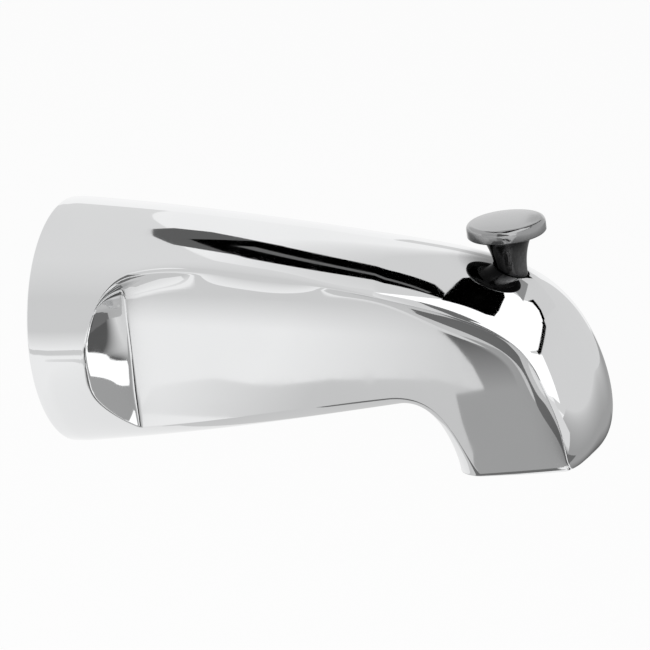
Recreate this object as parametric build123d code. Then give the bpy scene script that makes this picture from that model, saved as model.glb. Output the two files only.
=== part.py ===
from build123d import *
from math import cos, pi, sin
import os

# Bath spout with a lift diverter, in millimetres.
# The origin is the centre of the wall face, +X runs out of the wall and +Z is up.

# Barrel: a horn, round at the wall, that tapers to the neck
BASE_R = 30.0
LIP_LENGTH = 4.0
BARREL_LENGTH = 88.0
TAPER_AT_WALL = -0.079
NECK_HEIGHT = 19.9
NECK_HEIGHT_TAPER = -0.16
NECK_DEPTH = 19.3
NECK_DEPTH_TAPER = -0.141
NECK_HALF_WIDTH = 20.6
NECK_WIDTH_TAPER = -0.06
KEEL_SQUARENESS = 3.0
WALL = 2.6

# Nose: curls down from the neck to the outlet.
# A pair is a handle of its profile, a distance past the neck and a height above the axis.
NOSE_REACH = 42.5
OUTLET_DROP = 36.0
OUTLET_LENGTH = 30.2
OUTLET_HALF_WIDTH = 14.3
OUTLET_SQUARENESS = 3.4
BROW_PULL = 22.8
BROW = (45.6, 12.1)
CHEEK = (43.1, 2.6)
CHIN_PULL = (15.0, 9.6)
THROAT_PULL = 5.4
THROAT = (9.7, -21.6)
HEEL_PULL = 4.2
MOUTH_WIDTH_PULL = 18.1

# Scoop: the long recess along each flank, under the crease of the hood.
# Its floor is drawn in plan: a pair is a distance along the spout and one from its middle.
SCOOP_START = 13.6
SCOOP_SLANT = 8.6
SCOOP_FLOOR = 18.6
SCOOP_FLOOR_PULL = (46.0, 18.2)
SCOOP_FLOOR_TAPER = (23.0, 16.4)
SCOOP_MOUTH = 8.0
SCOOP_OVERRUN = 5.0
SCOOP_CORNER_R = 4.0
SCOOP_FILLET = 3.0
EDGE_FILLET = 0.9
# Its crease is drawn in side view, past the scoop's start and then past the neck.
CREASE_RISE = [(-1.6, -6.0), (2.8, 7.8), (5.7, 13.1), (14.7, 16.9)]
CREASE_FALL = [(-30.0, 15.8), (8.5, 8.8), (25.2, 3.6), (36.0, -4.4), (39.3, -11.6), (42.0, -21.8)]
CREASE_FOOT = 0.9

# Water way: the boss on the barrel's axis, its threaded insert and the port
PIPE_R = 9.3
PIPE_THREAD_LENGTH = 17.0
INSERT_WALL = 2.2
INSERT_FLANGE_RIM = 0.9
INSERT_FLANGE = 1.6
WRENCH_NOTCH = 3.0
BOSS_WALL = 2.0
BULKHEAD = 3.0
BULKHEAD_SETBACK = 5.0
PORT_R = 6.0
PORT_DROP = 3.2

# Diverter: knob, rod and gate on an upright axis in the nose
ROD_SETBACK = 28.9
ROD_R = 2.4
ROD_GRIP = 5.4
ROD_CHAMFER = 0.4
LIFT = 15.2
GATE_THICKNESS = 5.0
GATE_CORNER_R = 4.0
GATE_BOSS_R = 4.6
GATE_BOSS_FLOOR = 0.8
SEAL_R = 7.6
SEAL_THICKNESS = 2.0
SEAL_PROUD = 0.8
STUD_R = 1.6
STUD_BEAD = 0.8
STUD_BEAD_LENGTH = 1.2
RAIL = 2.0
KNOB_R = 9.7
KNOB_RISE = 15.3
KNOB_RIM = 3.5
KNOB_CROWN = 0.4
KNOB_EDGE = 1.4
KNOB_LOWER_EDGE = 0.4
KNOB_BORE = 9.0
SHANK_R = 3.9
SHANK_TOP_R = 5.6
SHANK_STRAIGHT = 2.6
SHANK_FLARE = 1.0
SHANK_SINK = 3.2
BUSH_WALL = 2.8
BUSH_LENGTH = 3.8
PAD_WALL = 1.8
O_RING_THICKNESS = 1.5

# Clearances
FIT = 0.05
RUNNING_FIT = 0.08
SHANK_CLEARANCE = 0.4
SEAL_CLEARANCE = 0.3
GATE_CLEARANCE = 0.6

# Sampling of the lofted casting
SECTION_POINTS = 32
BARREL_STATIONS = [0, 0.05, 0.15, 0.3, 0.5, 0.7, 0.85, 1]
NOSE_STATIONS = [0.17, 0.34, 0.5, 0.65, 0.78, 0.9, 1]


def bezier(points, t):
    """Point at t on the Bezier curve with these control points."""
    ladder = [Vector(*p) for p in points]
    while len(ladder) > 1:
        ladder = [a + (b - a) * t for a, b in zip(ladder, ladder[1:])]
    return ladder[0]


def height_on(profile, x, end):
    """Height of a Bezier profile where it passes x, searched from its start to t = end."""
    low, high = 0.0, end
    while high - low > 1e-7:
        middle = (low + high) / 2
        if bezier(profile, middle).X < x:
            low = middle
        else:
            high = middle
    return bezier(profile, low).Y


# Profiles worked out from the sizes above
FRONT = BARREL_LENGTH + NOSE_REACH
HEEL = FRONT - OUTLET_LENGTH
NOSE_TOP = [
    (BARREL_LENGTH, NECK_HEIGHT),
    (BARREL_LENGTH + BROW_PULL, NECK_HEIGHT + NECK_HEIGHT_TAPER * BROW_PULL),
    (BARREL_LENGTH + BROW[0], BROW[1]),
    (BARREL_LENGTH + CHEEK[0], CHEEK[1]),
    (FRONT + CHIN_PULL[0], CHIN_PULL[1] - OUTLET_DROP),
    (FRONT, -OUTLET_DROP),
]
NOSE_KEEL = [
    (BARREL_LENGTH, -NECK_DEPTH),
    (BARREL_LENGTH + THROAT_PULL, -NECK_DEPTH - NECK_DEPTH_TAPER * THROAT_PULL),
    (BARREL_LENGTH + THROAT[0], THROAT[1]),
    (HEEL, HEEL_PULL - OUTLET_DROP),
    (HEEL, -OUTLET_DROP),
]
NECK_PACE = (5 * BROW_PULL + 4 * THROAT_PULL) / 2
NOSE_WIDTH = [
    (NECK_HALF_WIDTH, 0),
    (NECK_HALF_WIDTH + NECK_WIDTH_TAPER * NECK_PACE / 3, 0),
    (MOUTH_WIDTH_PULL, 0),
    (OUTLET_HALF_WIDTH, 0),
]
SCOOP_END = SCOOP_START + SCOOP_SLANT
FLOOR = [
    (SCOOP_END, SCOOP_FLOOR),
    (SCOOP_END + SCOOP_FLOOR_PULL[0], SCOOP_FLOOR_PULL[1]),
    (FRONT - SCOOP_FLOOR_TAPER[0], SCOOP_FLOOR_TAPER[1]),
    (FRONT + SCOOP_OVERRUN, SCOOP_MOUTH),
]
OUTSIDE = BASE_R + OUTLET_DROP
CREASE = [(SCOOP_START + x, z) for x, z in CREASE_RISE]
CREASE += [(BARREL_LENGTH + x, z) for x, z in CREASE_FALL]
CREASE += [(FRONT + CREASE_FOOT, -OUTLET_DROP), (FRONT + CREASE_FOOT / 2, -OUTSIDE)]

# Places of the pieces inside
INSERT_R = PIPE_R + INSERT_WALL
BOSS_R = INSERT_R + BOSS_WALL
BULKHEAD_X = BARREL_LENGTH + BULKHEAD_SETBACK
INSERT_FRONT = BULKHEAD_X - INSERT_FLANGE + PIPE_THREAD_LENGTH
ROD_X = BARREL_LENGTH + ROD_SETBACK
SHANK_Z = height_on(NOSE_TOP, ROD_X, 0.7) - SHANK_SINK
BUSH_R = ROD_R + BUSH_WALL
PAD_Z = SHANK_Z - BUSH_LENGTH
GATE_BACK = ROD_X - GATE_THICKNESS
GATE_Z = -PORT_DROP - LIFT
GATE_HALF_HEIGHT = PAD_Z - GATE_CLEARANCE + PORT_DROP
GATE_TOP = GATE_Z + GATE_HALF_HEIGHT
GATE_HALF_WIDTH = height_on(FLOOR, ROD_X, 1) - WALL - GATE_CLEARANCE
SEAL_FACE = GATE_BACK - SEAL_PROUD
SEAT_X = SEAL_FACE - SEAL_CLEARANCE


def tube_along_x(radius, start, end, height=0):
    """Solid cylinder on an axis along X at this height."""
    return Pos((start + end) / 2, 0, height) * Rot(0, 90, 0) * Cylinder(radius, end - start)


def post(radius, bottom, top):
    """Solid cylinder on the rod's axis."""
    return Pos(ROD_X, 0, (bottom + top) / 2) * Cylinder(radius, top - bottom)


def block(x, y, z):
    """Box between pairs of limits."""
    middle = Pos((x[0] + x[1]) / 2, (y[0] + y[1]) / 2, (z[0] + z[1]) / 2)
    return middle * Box(x[1] - x[0], y[1] - y[0], z[1] - z[0])


def barrel_size(x, neck, taper):
    """Half size of the barrel: straight along the lip, then a smooth taper to the neck."""
    length = BARREL_LENGTH - LIP_LENGTH
    t = max(0.0, (x - LIP_LENGTH) / length)
    wall_handle = BASE_R + TAPER_AT_WALL * length / 3
    neck_handle = neck - taper * length / 3
    return bezier([(BASE_R, 0), (wall_handle, 0), (neck_handle, 0), (neck, 0)], t).X


def section(top, keel, half_width, crown, sole, inset):
    """Closed outline on the chord from keel to top, elliptic where its squareness is 2.

    The crown is the squareness of the upper half and the sole that of the lower half.
    """
    centre = (top + keel) / 2
    half_chord = (top - keel) / 2
    up = half_chord.normalized()
    height = half_chord.length - inset
    width = half_width - inset
    points = []
    for i in range(SECTION_POINTS):
        angle = 2 * pi * i / SECTION_POINTS
        power = sole if cos(angle) > 0 else crown
        across = abs(sin(angle) / width) ** power
        along = abs(cos(angle) / height) ** power
        radius = (across + along) ** (-1 / power)
        spot = centre - up * radius * cos(angle)
        points.append(Vector(spot.X, radius * sin(angle), spot.Y))
    knots = [i / SECTION_POINTS for i in range(SECTION_POINTS + 1)]
    return Wire([Edge.make_spline(points, periodic=True, parameters=knots)])


def horn(inset):
    """Barrel and nose in one smooth loft, its outline drawn in by the inset."""
    wires = []
    for share in BARREL_STATIONS:
        x = share * BARREL_LENGTH
        top = Vector(x, barrel_size(x, NECK_HEIGHT, NECK_HEIGHT_TAPER))
        keel = Vector(x, -barrel_size(x, NECK_DEPTH, NECK_DEPTH_TAPER))
        width = barrel_size(x, NECK_HALF_WIDTH, NECK_WIDTH_TAPER)
        sole = 2 + (KEEL_SQUARENESS - 2) * share ** 2 * (3 - 2 * share)
        wires.append(section(top, keel, width, 2, sole, inset))
    for t in NOSE_STATIONS:
        top = bezier(NOSE_TOP, t)
        keel = bezier(NOSE_KEEL, t)
        width = bezier(NOSE_WIDTH, t).X
        crown = 2 + (OUTLET_SQUARENESS - 2) * t ** 2
        sole = KEEL_SQUARENESS + (OUTLET_SQUARENESS - KEEL_SQUARENESS) * t ** 2
        wires.append(section(top, keel, width, crown, sole, inset))
    return Solid.make_loft(wires)


def scoop_cutter(inset):
    """Tool for the scoop on the -Y flank, its faces moved into the casting by the inset."""
    slope = (BASE_R - SCOOP_FLOOR) / SCOOP_SLANT
    floor = [(x - inset, inset - y) for x, y in FLOOR]
    start = floor[0]
    end = floor[-1]
    back = (start[0] + (-OUTSIDE - start[1]) / slope, -OUTSIDE)
    front = (end[0], -OUTSIDE)
    plan = make_face([Line(back, start), Bezier(*floor), Line(end, front), Line(front, back)])
    bend = plan.vertices().sort_by_distance((*start, 0))[0]
    plan = fillet(bend, SCOOP_CORNER_R)
    flank = extrude(plan, OUTSIDE, both=True)

    roof = [(x, z + inset) for x, z in CREASE]
    foot = (roof[0][0], roof[-1][1])
    side = make_face([Spline(*roof), Line(roof[-1], foot), Line(foot, roof[0])])
    cutter = flank & extrude(Plane.XZ * side, 2 * OUTSIDE)

    hood = cutter.faces().sort_by(Axis.Z)[-1]
    seam = [e.center() for e in hood.edges() if e.bounding_box().min.Y > -OUTSIDE + FIT]
    edges = [e for e in cutter.edges() if any((e.center() - spot).length < FIT for spot in seam)]
    return fillet(edges, SCOOP_FILLET)


def spout_body():
    """The hollow casting: horn, scoops, bulkhead, boss with its port, rails and rod hole."""
    skin = horn(0)
    hollow = horn(WALL)
    near = scoop_cutter(0)
    inner_near = scoop_cutter(WALL)
    shape = skin - near - mirror(near, Plane.XZ)
    shape = fillet(scoop_edges(skin, shape), EDGE_FILLET)
    hollow = hollow - inner_near - mirror(inner_near, Plane.XZ)

    everywhere = (-OUTSIDE, OUTSIDE)
    hollow -= block((BULKHEAD_X, BULKHEAD_X + BULKHEAD), everywhere, everywhere)
    hollow -= tube_along_x(BOSS_R, BULKHEAD_X, SEAT_X)
    hollow -= post(BUSH_R + PAD_WALL, PAD_Z, OUTSIDE)
    rail_height = (GATE_Z - GATE_HALF_HEIGHT, OUTSIDE)
    rail_inner = SEAL_R + GATE_CLEARANCE
    for x in (GATE_BACK - GATE_CLEARANCE - RAIL, ROD_X + GATE_CLEARANCE):
        hollow -= block((x, x + RAIL), (rail_inner, OUTSIDE), rail_height)
        hollow -= block((x, x + RAIL), (-OUTSIDE, -rail_inner), rail_height)
    shape -= hollow

    shape -= tube_along_x(INSERT_R, BULKHEAD_X, INSERT_FRONT)
    shape -= tube_along_x(PORT_R, INSERT_FRONT, SEAT_X, -PORT_DROP)
    shape -= post(BUSH_R, PAD_Z, SHANK_Z)
    shape -= post(SHANK_R + SHANK_CLEARANCE, SHANK_Z, OUTSIDE)
    return shape


def scoop_edges(skin, shape):
    """Outer edges of the scoops, where their faces run out into the round skin."""
    edges = []
    for edge in new_edges(skin, combined=shape):
        spots = [edge @ share for share in (0.1, 0.5, 0.9)]
        on_skin = all(skin.distance_to(Vertex(spot)) < FIT for spot in spots)
        if on_skin:
            edges.append(edge)
    return edges


def inlet_bushing():
    """Threaded brass insert, with a flange on the boss and two notches for a wrench."""
    flange_start = BULKHEAD_X - INSERT_FLANGE
    flange_r = INSERT_R + INSERT_FLANGE_RIM
    shape = tube_along_x(INSERT_R - FIT, BULKHEAD_X, INSERT_FRONT)
    shape += tube_along_x(flange_r, flange_start, BULKHEAD_X)
    shape -= tube_along_x(PIPE_R, flange_start, INSERT_FRONT)
    notch = (-WRENCH_NOTCH / 2, WRENCH_NOTCH / 2)
    shape -= block((flange_start, flange_start + INSERT_FLANGE / 2), notch, (-OUTSIDE, OUTSIDE))
    return shape


def diverter_gate():
    """Sliding plate with a boss for the rod and a round pocket for the seal."""
    half = GATE_HALF_HEIGHT
    plate = block((GATE_BACK, ROD_X), (-GATE_HALF_WIDTH, GATE_HALF_WIDTH), (GATE_Z - half, GATE_TOP))
    plate = fillet(plate.edges().filter_by(Axis.X), GATE_CORNER_R)
    shape = plate + post(GATE_BOSS_R, GATE_TOP - ROD_GRIP - GATE_BOSS_FLOOR, GATE_TOP)
    shape -= post(ROD_R + FIT, GATE_TOP - ROD_GRIP, GATE_TOP)
    shape -= tube_along_x(SEAL_R + FIT, GATE_BACK, SEAL_FACE + SEAL_THICKNESS, GATE_Z)
    shape -= tube_along_x(STUD_R + FIT, GATE_BACK, ROD_X, GATE_Z)
    return shape


def gate_seal():
    """Rubber disc with a moulded stud that snaps through the gate."""
    shape = tube_along_x(SEAL_R, SEAL_FACE, SEAL_FACE + SEAL_THICKNESS, GATE_Z)
    shape += tube_along_x(STUD_R, SEAL_FACE, ROD_X, GATE_Z)
    shape += tube_along_x(STUD_R + STUD_BEAD, ROD_X, ROD_X + STUD_BEAD_LENGTH, GATE_Z)
    return shape


def lift_rod():
    """Brass rod from the gate up into the knob."""
    rod = post(ROD_R, GATE_TOP - ROD_GRIP, SHANK_Z + KNOB_BORE)
    return chamfer(rod.edges(), ROD_CHAMFER)


def lift_knob():
    """Turned button: a straight shank that flares into a crowned disc."""
    top = SHANK_Z + KNOB_RISE
    rim = top - KNOB_RIM
    straight = SHANK_Z + SHANK_STRAIGHT
    shank = [(0, SHANK_Z), (SHANK_R, SHANK_Z), (SHANK_R, straight)]
    flare = [
        (SHANK_R, straight),
        (SHANK_R, (straight + rim) / 2),
        (SHANK_TOP_R, rim - SHANK_FLARE),
        (SHANK_TOP_R + SHANK_FLARE, rim),
    ]
    side = [
        (SHANK_TOP_R + SHANK_FLARE, rim),
        (KNOB_R - KNOB_LOWER_EDGE, rim),
        (KNOB_R, rim + KNOB_LOWER_EDGE),
        (KNOB_R, top - KNOB_EDGE),
    ]
    edge = [(KNOB_R, top - KNOB_EDGE), (KNOB_R, top), (KNOB_R - KNOB_EDGE, top)]
    crown = [(KNOB_R - KNOB_EDGE, top), (KNOB_R / 2, top + KNOB_CROWN), (0, top + KNOB_CROWN)]
    outline = [
        Polyline(*shank),
        Bezier(*flare),
        Polyline(*side),
        Bezier(*edge),
        Bezier(*crown),
        Line(crown[-1], shank[0]),
    ]
    profile = Plane.XZ * make_face(outline)
    shape = Pos(ROD_X, 0, 0) * revolve(profile, Axis.Z)
    return shape - post(ROD_R + FIT, SHANK_Z, SHANK_Z + KNOB_BORE)


def guide_bush():
    """Nylon bush in the hood, with a groove for the packing ring."""
    groove = (PAD_Z + SHANK_Z - O_RING_THICKNESS) / 2 - FIT
    shape = post(BUSH_R - FIT, PAD_Z, SHANK_Z)
    shape -= post(ROD_R + RUNNING_FIT, PAD_Z, SHANK_Z)
    shape -= post(ROD_R + RUNNING_FIT + O_RING_THICKNESS, groove, groove + O_RING_THICKNESS + 2 * FIT)
    return shape


def rod_o_ring():
    """Packing ring round the rod."""
    middle = ROD_R + RUNNING_FIT + (O_RING_THICKNESS - FIT) / 2
    ring = Torus(middle, (O_RING_THICKNESS - FIT) / 2)
    return Pos(ROD_X, 0, (PAD_Z + SHANK_Z) / 2) * ring


PIECES = {
    "spout_body": spout_body,
    "inlet_bushing": inlet_bushing,
    "diverter_gate": diverter_gate,
    "gate_seal": gate_seal,
    "lift_rod": lift_rod,
    "lift_knob": lift_knob,
    "guide_bush": guide_bush,
    "rod_o_ring": rod_o_ring,
}

if __name__ == "__main__":
    os.makedirs("parts", exist_ok=True)
    for name, make in PIECES.items():
        export_step(make(), f"parts/{name}.step")
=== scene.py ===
import math

import bpy
import numpy as np
from bpy.props import FloatProperty, FloatVectorProperty, PointerProperty
from mathutils import Matrix, Vector


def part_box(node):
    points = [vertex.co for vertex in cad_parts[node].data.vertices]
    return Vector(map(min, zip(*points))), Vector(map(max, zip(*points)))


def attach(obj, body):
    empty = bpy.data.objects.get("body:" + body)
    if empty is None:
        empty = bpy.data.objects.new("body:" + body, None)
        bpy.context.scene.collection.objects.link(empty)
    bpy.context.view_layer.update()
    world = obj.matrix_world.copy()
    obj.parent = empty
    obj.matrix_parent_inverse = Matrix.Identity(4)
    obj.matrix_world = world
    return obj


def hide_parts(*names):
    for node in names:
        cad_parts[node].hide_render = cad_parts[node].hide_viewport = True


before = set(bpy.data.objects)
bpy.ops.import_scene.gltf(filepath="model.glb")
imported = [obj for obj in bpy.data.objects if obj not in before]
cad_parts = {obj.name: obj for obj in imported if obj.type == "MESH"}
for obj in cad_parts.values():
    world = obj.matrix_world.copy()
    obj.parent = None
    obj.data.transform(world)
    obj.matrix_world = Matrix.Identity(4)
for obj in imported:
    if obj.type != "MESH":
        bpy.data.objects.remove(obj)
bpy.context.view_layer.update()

bl_info = {
    "name": "Bath spout",
    "version": (1, 0, 0),
    "blender": (4, 5, 0),
    "location": "3D View > Sidebar > Bath spout",
    "description": "Dresses the bath spout: plated casting, turned knob, brass water way and studio",
    "category": "Object",
}

MM = 0.001


def length(name, description, millimetres):
    """A size in metres, given here in millimetres."""
    return FloatProperty(name=name, description=description, default=millimetres * MM,
                         unit="LENGTH", precision=5)


def angle(name, description, degrees):
    """An angle in radians, given here in degrees."""
    return FloatProperty(name=name, description=description, default=math.radians(degrees),
                         subtype="ANGLE", precision=5)


def share(name, description, value):
    """A plain number, such as a slope or a roughness."""
    return FloatProperty(name=name, description=description, default=value, precision=4)


def colour(name, description, value):
    """A colour a user would change."""
    return FloatVectorProperty(name=name, description=description, default=value, size=3, subtype="COLOR",
                               min=0.0, max=1.0)


class SPOUT_PG_casting(bpy.types.PropertyGroup):
    """Sizes of the plated casting."""

    base_r: length("Base radius", "Radius of the round rim on the wall", 30.0)
    lip: length("Lip", "Straight length behind the rim", 4.0)
    barrel: length("Barrel", "Length from the wall to the neck", 88.0)
    wall_taper: share("Wall taper", "Slope of the barrel where the lip ends", -0.079)
    neck_height: length("Neck height", "Height of the hood above the axis at the neck", 19.9)
    neck_height_taper: share("Neck height taper", "Slope of the hood at the neck", -0.16)
    neck_depth: length("Neck depth", "Depth of the keel below the axis at the neck", 19.3)
    neck_depth_taper: share("Neck depth taper", "Slope of the keel at the neck", -0.141)
    neck_width: length("Neck half width", "Half width at the neck", 20.6)
    neck_width_taper: share("Neck width taper", "Slope of the flanks at the neck", -0.06)
    keel_squareness: share("Keel squareness", "Squareness of the underside at the neck", 3.0)
    wall: length("Wall", "Thickness of the casting", 2.6)
    rim_round: length("Rim round", "Rounding of the wall rim and of the outlet", 0.45)
    reach: length("Nose reach", "Length of the nose past the neck", 42.5)
    drop: length("Outlet drop", "Depth of the outlet below the axis", 36.0)
    outlet_length: length("Outlet length", "Length of the outlet along the spout", 30.2)
    outlet_width: length("Outlet half width", "Half width of the outlet", 14.3)
    outlet_squareness: share("Outlet squareness", "Squareness of the outlet", 3.4)
    brow_pull: length("Brow pull", "Handle of the hood behind the brow", 22.8)
    brow_x: length("Brow place", "Handle of the brow past the neck", 45.6)
    brow_z: length("Brow height", "Handle of the brow above the axis", 12.1)
    cheek_x: length("Cheek place", "Handle of the nose's front past the neck", 43.1)
    cheek_z: length("Cheek height", "Handle of the nose's front above the axis", 2.6)
    chin_x: length("Chin pull", "Handle of the chin past the outlet's front", 15.0)
    chin_z: length("Chin height", "Handle of the chin above the outlet", 9.6)
    throat_pull: length("Throat pull", "Handle of the keel past the neck", 5.4)
    throat_x: length("Throat place", "Handle of the throat past the neck", 9.7)
    throat_z: length("Throat depth", "Handle of the throat below the axis", 21.6)
    heel_pull: length("Heel pull", "Handle of the heel above the outlet", 4.2)
    mouth_pull: length("Mouth width pull", "Handle of the half width before the outlet", 18.1)


class SPOUT_PG_scoop(bpy.types.PropertyGroup):
    """Sizes of the recess along each flank."""

    start: length("Start", "Place where the end wall leaves the round skin", 13.6)
    slant: length("Slant", "Length of the end wall along the spout", 8.6)
    floor: length("Floor", "Half width between the floors at the end wall", 18.6)
    floor_pull_x: length("Floor pull", "Handle of the floor past the end wall", 46.0)
    floor_pull_y: length("Floor pull width", "Half width at that handle", 18.2)
    taper_x: length("Floor taper", "Handle of the floor before the outlet's front", 23.0)
    taper_y: length("Floor taper width", "Half width at that handle", 16.4)
    overrun: length("Overrun", "How far the floor's curve runs past the front", 5.0)
    mouth: length("Mouth", "Half width at the end of the floor's curve", 8.0)
    bend: length("Bend", "Blend between the end wall and the floor", 0.7)
    spoon: length("Spoon", "How far the end wall is dished at the rim", 1.6)
    spoon_z: length("Spoon height", "Height of the dish's middle above the axis", -13.0)
    spoon_half: length("Spoon half", "Half height of the dish", 11.0)
    lean: length("Lean", "How far the end wall leans over at its top", 2.5)
    lean_z: length("Lean height", "Height where it starts to lean", -4.0)
    lean_rise: length("Lean rise", "Rise from there to its top", 14.0)
    edge: length("Edge", "Rounding of the crease", 0.9)
    fillet: length("Fillet", "Rounding between the floor and the crease's underside", 3.0)
    run_out: length("Run out", "Blend of the floor into the round skin", 0.35)
    soft_rise: length("Soft rise", "How far above the crease its soft stretch starts", 0.8)
    soft_fall: length("Soft fall", "How far below the crease its soft stretch ends", 2.0)
    soft_edge: length("Soft edge", "Rounding into the hood on the soft stretch", 2.0)
    soft_fillet: length("Soft fillet", "Rounding into the floor on the soft stretch", 2.5)
    soft_from: length("Soft from", "Place where the crease starts to soften", 17.0)
    soft_full: length("Soft full", "Place where the crease is softest", 26.0)
    soft_fade: length("Soft fade", "Place where the crease starts to sharpen", 58.0)
    soft_to: length("Soft to", "Place where the crease is sharp again", 94.0)
    cove: length("Cove", "Rounding into the floor on the nose", 8.0)
    cove_fall: length("Cove fall", "How far below the crease its underside ends on the nose", 2.0)
    cove_from: length("Cove from", "Place where the cove starts to grow", 76.0)
    cove_full: length("Cove full", "Place where the cove is whole", 108.0)
    cove_fade: length("Cove fade", "Depth below the axis where the cove starts to shrink", 14.0)
    cove_to: length("Cove to", "Depth below the axis where the cove has gone", 33.0)
    foot: length("Foot", "Place of the crease at the outlet, past the nose's front", -0.2)


class SPOUT_PG_knob(bpy.types.PropertyGroup):
    """Sizes of the lift knob's outline."""

    radius: length("Radius", "Radius of the knob's disc", 9.7)
    rim: length("Rim", "Height of the disc", 3.5)
    edge: length("Edge", "Rounding of the disc's upper edge", 1.4)
    lower_edge: length("Lower edge", "Rounding of the disc's lower edge", 0.4)
    crown: length("Crown", "Rise of the top's middle", 0.4)
    shank: length("Shank", "Radius of the straight shank", 3.9)
    straight: length("Straight", "Length of the straight shank", 2.6)
    shank_top: length("Shank top", "Radius of the shank below the disc", 5.6)
    flare: length("Flare", "Spread of the shank into the disc", 1.0)
    bore: length("Bore", "Radius of the hole for the rod", 2.45)
    bore_depth: length("Bore depth", "Depth of that hole", 9.0)


class SPOUT_PG_inside(bpy.types.PropertyGroup):
    """Sizes of the water way inside the casting."""

    flange: length("Flange", "Thickness of the inlet bushing's flange", 1.6)
    bulkhead: length("Bulkhead", "Thickness of the wall that carries the boss", 3.0)
    boss: length("Boss", "Outer radius of the boss round the bushing", 13.5)
    boss_wall: length("Boss wall", "Wall of that boss", 2.0)
    seat: length("Seat", "Place of the face that the gate closes on", 110.8)
    port: length("Port", "Radius of the water port", 6.0)
    port_drop: length("Port drop", "Depth of the port below the axis", 3.2)
    pad: length("Pad", "Radius of the pad round the guide bush", 7.0)
    bush_pocket: length("Bush pocket", "Radius of the guide bush's pocket", 5.2)
    shank_hole: length("Shank hole", "Radius of the hole for the knob's shank", 4.3)
    rail: length("Rail", "Thickness of the gate's rails", 2.0)
    rail_back: length("Back rail", "Place of the rails behind the gate", 109.3)
    rail_front: length("Front rail", "Place of the rails before the gate", 117.5)
    rail_gap: length("Rail gap", "Half width between the rails", 8.2)
    pipe: length("Pipe", "Radius of the bushing's bore at the thread's crests", 9.3)
    pitch: length("Pitch", "Pitch of the pipe thread", 1.814)
    thread_depth: length("Thread depth", "Depth of the pipe thread", 1.1)


class SPOUT_PG_finish(bpy.types.PropertyGroup):
    """Colours and polish."""

    chrome: colour("Chrome", "Colour of the casting's plate", (0.86, 0.865, 0.87))
    # The knob's plate is a darker grey than the casting's: painted shade for the dark surroundings that
    # the knob mirrors
    knob: colour("Knob", "Colour of the knob's plate", (0.42, 0.422, 0.426))
    cast: colour("Raw casting", "Colour of the unplated inside", (0.55, 0.55, 0.555))
    brass: colour("Brass", "Colour of the brass", (0.72, 0.53, 0.25))
    nylon: colour("Nylon", "Colour of the guide bush", (0.80, 0.78, 0.71))
    rubber: colour("Rubber", "Colour of the seals", (0.022, 0.022, 0.024))
    polish: share("Polish", "Roughness of the casting's plate", 0.03)
    knob_polish: share("Knob polish", "Roughness of the knob's plate", 0.12)


class SPOUT_PG_stage(bpy.types.PropertyGroup):
    """Camera, floor, lamp and cards."""

    azimuth: angle("Azimuth", "Turn of the camera about the upright axis", 23.752)
    elevation: angle("Elevation", "Camera's height above the horizon", 16.573)
    roll: angle("Roll", "Lean of the picture", 7.154)
    distance: length("Distance", "Camera's distance", 3000.0)
    lens: FloatProperty(name="Lens", description="Focal length on a 36 mm sensor", default=681.7,
                        unit="CAMERA")
    pivot: length("Pivot", "Point of the axis that the camera turns about", 70.0)
    aside: length("Aside", "Shift of the aim to the picture's left", 3.3)
    below: length("Below", "Shift of the aim towards the picture's foot", 1.7)
    floor: colour("Floor", "Colour of the floor", (0.86, 0.86, 0.86))
    floor_size: length("Floor size", "Side of the floor", 6000.0)
    floor_drop: length("Floor drop", "Depth of the floor below the axis", 150.0)
    floor_glow: share("Floor glow", "Share of plain white in the floor that is seen", 0.85)
    fill: share("Fill", "Level of the light from all round", 0.6)
    lamp: FloatProperty(name="Lamp", description="Power of the soft lamp", default=45.0, unit="POWER")
    lamp_size: length("Lamp size", "Side of the soft lamp", 1500.0)
    ceiling_z: length("Ceiling height", "Height of the tent's ceiling", 300.0)
    front_y: length("Front wall", "Distance of the tent's wall on the camera's side", 500.0)
    nose_x: length("Nose wall", "Distance of the tent's wall before the nose", 500.0)
    back_y: length("Back wall", "Distance of the tent's wall behind the spout", 600.0)
    near_drop: length("Near floor drop", "Depth of the floor cards below the axis", 100.0)
    screen_x: length("Screen", "Place of the small screen before the nose", 142.0)
    layer: length("Layer", "Step between one card and the next in front of it", 0.2)
    pale: share("Pale", "Level of the tent's plain cloth", 0.97)
    left: share("Left", "Level of the ceiling over the wall end and of the screen's top", 0.78)
    right: share("Right", "Level of the cards before the nose and behind the spout", 0.72)
    grey: share("Grey", "Level of the ceiling behind the nose", 0.7)
    # The dim card on the floor below the nose is painted shadow: the spout's shadow on the floor
    dim: share("Dim", "Level of the cards round the camera and below the nose", 0.16)
    tip: share("Tip", "Level of the bar's paler end", 0.12)
    far: share("Far", "Level of the floor's far part and where the front wall meets the ceiling", 0.68)
    band: share("Band", "Level of the floor beside the outlet and of the screen's near part", 0.38)
    # The dusk card on the floor under the nose is painted shadow: the spout's shadow on the floor
    dusk: share("Dusk", "Level of the darkest parts of the floor and the screen", 0.1)
    smear: share("Smear", "Level of the fold beside the bar", 0.3)
    glint: share("Glint", "Level of the slit in the bar's arm", 0.15)
    softbox: share("Softbox", "Level of the soft box", 1.25)
    # Painted shadow: the floor close to the spout, darkened where the spout shades it, as mirrors see it
    near_floor_shadow: share("Near floor", "Level of the floor close to the spout", 0.63)
    clean: share("Clean", "Level of the floor below the barrel and of the front wall's foot", 0.95)
    # Painted shade: the floor before the outlet, darker near the spout
    chin: share("Chin", "Level of the floor before the outlet", 0.37)


def bezier(points, t):
    """Points at t on the Bezier curve with these control points."""
    ladder = [np.asarray(p, float)[..., None] * np.ones(np.size(t)) for p in points]
    while len(ladder) > 1:
        ladder = [a + (b - a) * t for a, b in zip(ladder, ladder[1:])]
    return ladder[0]


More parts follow.
